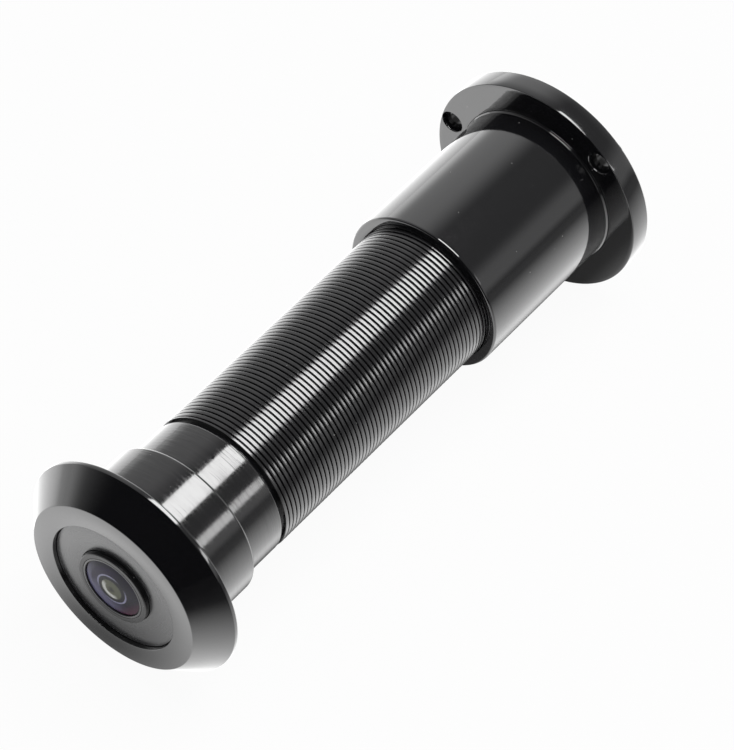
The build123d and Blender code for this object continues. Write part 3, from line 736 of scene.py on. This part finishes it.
def beside_on_tube(row, column):
    """Row that a row meets in the next column: the same one, except on the helix.

    There, where the angle comes round to 0, it is the one a turn earlier.
    """
    comes_round = (column == TUBE_COLUMNS - 1) & (row >= first_of_thread) & (row < first_of_back)
    return np.where(comes_round, np.maximum(row - len(SECTION_PLACES), first_of_thread), row)


tube_black = anodised("tube_black_anodising", BLACK_DYE, rough=(0.07, 0.17), depth=9)
thread_black = anodised(
    "thread_black_anodising", BLACK_DYE, rough=(0.15, 0.19), depth=0.5, ior=1.68, speck=0.065,
)
faces = ring_faces(len(places), TUBE_COLUMNS, beside_on_tube)
tube = piece_from("threaded_tube_body", points, faces, SMOOTH_BELOW)
dress(tube, tube_black, "camera", "threaded_tube")
dress_behind(tube, thread_black, THREAD_START)


# Sleeve nut: a smooth tube of aluminium with its thread inside, anodised black. It screws along
# the tube and draws the flange against the door. Its journal turns in the flange, with a groove
# for the snap ring, and two slots across its back take a coin.
SLEEVE_RADIUS, SLEEVE_BORE = 8.0, 7.05
SLEEVE_MOUTH, SLEEVE_BACK = 38.85, 57.7
SHOULDER_START, SHOULDER_RISE, SHOULDER_BACK = 55.3, 0.13, 55.59
JOURNAL_RADIUS = 7.7
GROOVE_RADIUS, GROOVE_FRONT, GROOVE_BACK = 7.45, 56.82, 57.36
SLOT_WIDTH, SLOT_DEPTH, BEYOND = 1.4, 0.9, 1.0
SLEEVE_COLUMNS = 144
sleeve_black = anodised("sleeve_black_anodising", BLACK_DYE, rough=(0.05, 0.08), depth=0.5, sheen=0.25)
outline = rounded([
    (SLEEVE_BORE, SLEEVE_MOUTH, 0.05),
    (SLEEVE_RADIUS, SLEEVE_MOUTH, 0.22),
    (SLEEVE_RADIUS, SHOULDER_START, 0.12),
    (SLEEVE_RADIUS + SHOULDER_RISE, SHOULDER_START + SHOULDER_RISE, 0.04),
    (SLEEVE_RADIUS + SHOULDER_RISE, SHOULDER_BACK, 0.02),
    (JOURNAL_RADIUS, SHOULDER_BACK, BROKEN_EDGE),
    (JOURNAL_RADIUS, GROOVE_FRONT, BROKEN_EDGE),
    (GROOVE_RADIUS, GROOVE_FRONT, BROKEN_EDGE),
    (GROOVE_RADIUS, GROOVE_BACK, BROKEN_EDGE),
    (JOURNAL_RADIUS, GROOVE_BACK, BROKEN_EDGE),
    (JOURNAL_RADIUS, SLEEVE_BACK, 0.05),
    (SLEEVE_BORE, SLEEVE_BACK, 0.05),
])
# The box that cuts both slots ends beyond the sleeve. The columns start half a column on, so that
# none of them lies on the middle of a slot.
slots = (
    (-SLEEVE_RADIUS - BEYOND, SLEEVE_BACK - SLOT_DEPTH, -SLOT_WIDTH / 2),
    (SLEEVE_RADIUS + BEYOND, SLEEVE_BACK + BEYOND, SLOT_WIDTH / 2),
)
angles = angles_of(SLEEVE_COLUMNS, 180 / SLEEVE_COLUMNS)
sleeve = piece_from(
    "sleeve_nut_body", turned(outline, angles), ring_faces(len(outline), SLEEVE_COLUMNS), boxes=[slots],
)
dress(sleeve, sleeve_black, "nut", "sleeve_nut")


# Rear flange: a round plate of aluminium, turned, drilled, polished and anodised black, with
# three small holes near its rim. It bears on the inside of the door, and the sleeve nut's journal
# turns in its bore, held by the snap ring in the recess of its back.
FLANGE_RADIUS, FLANGE_FRONT, FLANGE_BACK = 10.9, 55.5, 57.7
SHOULDER_HOLE, SHOULDER_SEAT = 8.16, 55.6
JOURNAL_HOLE = 7.74
RECESS_RADIUS, RECESS_FLOOR = 8.34, 56.8
HOLE_ANGLES, HOLE_PLACE, HOLE_RADIUS = (46.5, 166.5, 286.5), 9.7, 1.0
# Edge of a hole, as widenings and depths: a broken corner and a short lead-in.
HOLE_EDGE = ((0.14, 0.0), (0.105, 0.03), (0.08, 0.09), (0.0, 0.4))
FLANGE_COLUMNS, HALF_PATCH, PATCH_ROWS = 288, 9, 8


def divided(outline, row, parts):
    """Outline whose stretch from a row to the next is divided into equal parts."""
    share = np.linspace(0, 1, parts + 1)[1:-1, None]
    between = outline[row] * (1 - share) + outline[row + 1] * share
    return np.concatenate([outline[:row + 1], between, outline[row + 1:]])


outline = rounded([
    (SHOULDER_HOLE, FLANGE_FRONT, 0.02),
    (FLANGE_RADIUS, FLANGE_FRONT, 0.07),
    (FLANGE_RADIUS, FLANGE_BACK, 0.16),
    (RECESS_RADIUS, FLANGE_BACK, 0.05),
    (RECESS_RADIUS, RECESS_FLOOR, BROKEN_EDGE),
    (JOURNAL_HOLE, RECESS_FLOOR, BROKEN_EDGE),
    (JOURNAL_HOLE, SHOULDER_SEAT, BROKEN_EDGE),
    (SHOULDER_HOLE, SHOULDER_SEAT, 0.02),
])
# The two flat faces are divided, so that each hole sits in a patch of its own. The front one
# follows the first corner, and the back one the third.
front_row = FILLET_POINTS - 1
back_row = 3 * FILLET_POINTS - 1 + PATCH_ROWS - 1
outline = divided(divided(outline, front_row, PATCH_ROWS), back_row, PATCH_ROWS)
# The columns are turned so that one of them runs through the middle of each hole.
angles = angles_of(FLANGE_COLUMNS, HOLE_ANGLES[0] % (360 / FLANGE_COLUMNS))
points = turned(outline, angles)
faces = ring_faces(len(outline), FLANGE_COLUMNS).reshape(len(outline), FLANGE_COLUMNS, 4)
keep = np.ones(faces.shape[:2], bool)
hole_faces = []
for hole_angle in HOLE_ANGLES:
    column = round((hole_angle - math.degrees(angles[0])) * FLANGE_COLUMNS / 360)
    patch = np.arange(column - HALF_PATCH, column + HALF_PATCH) % FLANGE_COLUMNS
    near_side, far_side = patch[0], (patch[-1] + 1) % FLANGE_COLUMNS
    turn = math.radians(hole_angle)
    centre = np.array((HOLE_PLACE * math.cos(turn), 0, HOLE_PLACE * math.sin(turn)))
    outwards = None
    wall = []
    for row, way in ((front_row, 1), (back_row, -1)):
        # The patch's quads go, and rings lead from its border to the hole's wall.
        keep[row:row + PATCH_ROWS, patch] = False
        side = np.arange(row, row + PATCH_ROWS)
        border = np.concatenate([
            row * FLANGE_COLUMNS + patch,
            side * FLANGE_COLUMNS + far_side,
            (row + PATCH_ROWS) * FLANGE_COLUMNS + (patch[::-1] + 1) % FLANGE_COLUMNS,
            (side[::-1] + 1) * FLANGE_COLUMNS + near_side,
        ])
        spoke = points[border] * (1, 0, 1) - centre
        order = np.argsort(np.arctan2(spoke[:, 2], spoke[:, 0]))
        ring = border[order]
        level = points[ring[0], 1]
        if outwards is None:
            outwards = spoke[order] / np.linalg.norm(spoke[order], axis=1, keepdims=True)
        k = np.arange(len(ring))
        after = (k + 1) % len(ring)
        for widening, depth in HOLE_EDGE:
            next_ring = len(points) + k
            edge = centre + outwards * (HOLE_RADIUS + widening) + (0, level + way * depth, 0)
            points = np.concatenate([points, edge])
            hole_faces.append(np.stack([ring, ring[after], next_ring[after], next_ring], 1))
            ring = next_ring
        wall.append(ring)
    hole_faces.append(np.stack([wall[0], wall[0][after], wall[1][after], wall[1]], 1))
flange_black = anodised("flange_black_anodising", BLACK_DYE, rough=(0.05, 0.09), depth=0.5)
flange = piece_from("rear_flange_body", points, np.concatenate([faces[keep], *hole_faces]))
dress(flange, flange_black, "flange", "rear_flange")


# Pieces that keep their CAD shape, most of them inside: the rest of the lens, the sensor and its
# boards, the seals, the plug and the snap ring. Each gets the finish of what it is made of.
FINISH_DETAIL, RELIEF_DEPTH = 3, 0.01
GLASS_IOR, GLASS_NOISE, GLASS_ROUGHNESS = 1.52, 900, 0.05


def finish(name, first, second, scale, rough, bump=0.0, metallic=0.0):
    """Matt or metal surface: two close colours in a fine noise that varies roughness and bump too."""
    material, wire, surface = new_material(name)
    noise = wire.add(
        "ShaderNodeTexNoise", {"Vector": wire.place(), "Scale": scale, "Detail": FINISH_DETAIL},
    ).outputs["Fac"]
    spread = wire.add("ShaderNodeMapRange", {"Value": noise, "To Min": rough[0], "To Max": rough[1]})
    relief = wire.add(
        "ShaderNodeBump", {"Strength": bump, "Distance": RELIEF_DEPTH * MM, "Height": noise},
    )
    wire.give(surface, wire.shader("ShaderNodeBsdfPrincipled", {
        "Base Color": wire.blend(noise, first, second),
        "Roughness": spread.outputs["Result"],
        "Normal": relief.outputs["Normal"],
        "Metallic": metallic,
    }))
    return material


def glass(name, tint, mirror_tint):
    """Polished coated glass: clear with a slight tint, its reflections coloured by the coating."""
    material, wire, surface = new_material(name)
    noise = wire.add("ShaderNodeTexNoise", {"Vector": wire.place(), "Scale": GLASS_NOISE}).outputs["Fac"]
    spread = wire.add("ShaderNodeMapRange", {"Value": noise, "To Min": 0, "To Max": GLASS_ROUGHNESS})
    wire.give(surface, wire.shader("ShaderNodeBsdfPrincipled", {
        "Base Color": tint,
        "Roughness": spread.outputs["Result"],
        "IOR": GLASS_IOR,
        "Transmission Weight": 1,
        "Specular Tint": mirror_tint,
    }))
    return material


def clothe(material, *names):
    """Gives each named CAD node one material."""
    for name in names:
        nodes[name].data.materials.clear()
        nodes[name].data.materials.append(material)


# Turned black aluminium, black film and glass of the lens.
clothe(gloss_black, "back_plug")
clothe(barrel_black, "front_spacer", "rear_spacer", "rear_lock_ring", "focus_ring")
stop_black = finish("matt_black_stop", (0.01, 0.01, 0.01), (0.02, 0.02, 0.02), 4000, (0.7, 0.9))
clothe(stop_black, "aperture_stop")
clear_glass = glass("clear_glass", (0.97, 1.0, 0.98), (0.8, 1.0, 0.8))
clothe(clear_glass, "second_lens", "third_lens", "rear_lens", "sensor_glass")
clothe(glass("pink_filter_glass", (0.9, 0.6, 0.65), (1.0, 0.5, 0.6)), "infrared_filter")

# Plastic, board and ceramic of the electronics.
holder = finish("holder_plastic", (0.018, 0.018, 0.018), (0.03, 0.03, 0.03), 3000, (0.5, 0.7), bump=0.4)
clothe(holder, "lens_holder")
board = finish("green_board", (0.01, 0.12, 0.045), (0.015, 0.16, 0.06), 1500, (0.3, 0.5), bump=0.2)
clothe(board, "sensor_board", "processor_board")
chip = finish("chip_plastic", (0.02, 0.02, 0.022), (0.035, 0.035, 0.037), 5000, (0.55, 0.75), bump=0.5)
clothe(chip, "processor_chip", "board_connector")
sensor = finish("sensor_ceramic", (0.42, 0.38, 0.31), (0.5, 0.46, 0.38), 2500, (0.5, 0.65))
clothe(sensor, "image_sensor")
socket_white = finish("socket_plastic", (0.72, 0.69, 0.6), (0.78, 0.75, 0.66), 1200, (0.3, 0.42), bump=0.1)
clothe(socket_white, "cable_socket")
capacitor = finish("capacitor_ceramic", (0.32, 0.21, 0.12), (0.4, 0.28, 0.17), 4000, (0.45, 0.6))
clothe(capacitor, "filter_capacitors")

# Metal: the crystal's can, screws, spacers, pins and the spring steel of the snap ring.
can = finish("crystal_can", (0.6, 0.6, 0.6), (0.72, 0.72, 0.72), 2200, (0.25, 0.4), bump=0.1, metallic=1)
clothe(can, "crystal")
steel = finish("screw_steel", (0.5, 0.5, 0.51), (0.62, 0.62, 0.64), 3500, (0.2, 0.4), bump=0.2, metallic=1)
clothe(steel, "board_screws")
brass = finish("turned_brass", (0.62, 0.45, 0.2), (0.72, 0.55, 0.27), 3500, (0.2, 0.35), bump=0.2, metallic=1)
clothe(brass, "board_spacers")
gold = finish("gold_plating", (0.85, 0.62, 0.24), (0.9, 0.68, 0.3), 3500, (0.15, 0.3), bump=0.1, metallic=1)
clothe(gold, "socket_pins")
spring = finish(
    "phosphated_spring_steel", (0.07, 0.07, 0.072), (0.13, 0.13, 0.132), 4200, (0.3, 0.5),
    bump=0.3, metallic=1,
)
clothe(spring, "snap_ring")

# Rubber: the seals and the grommet.
rubber = finish("seal_rubber", (0.012, 0.012, 0.012), (0.024, 0.024, 0.024), 2600, (0.6, 0.85), bump=0.8)
clothe(rubber, "lens_seal", "tube_gasket", "plug_gasket", "cable_grommet")
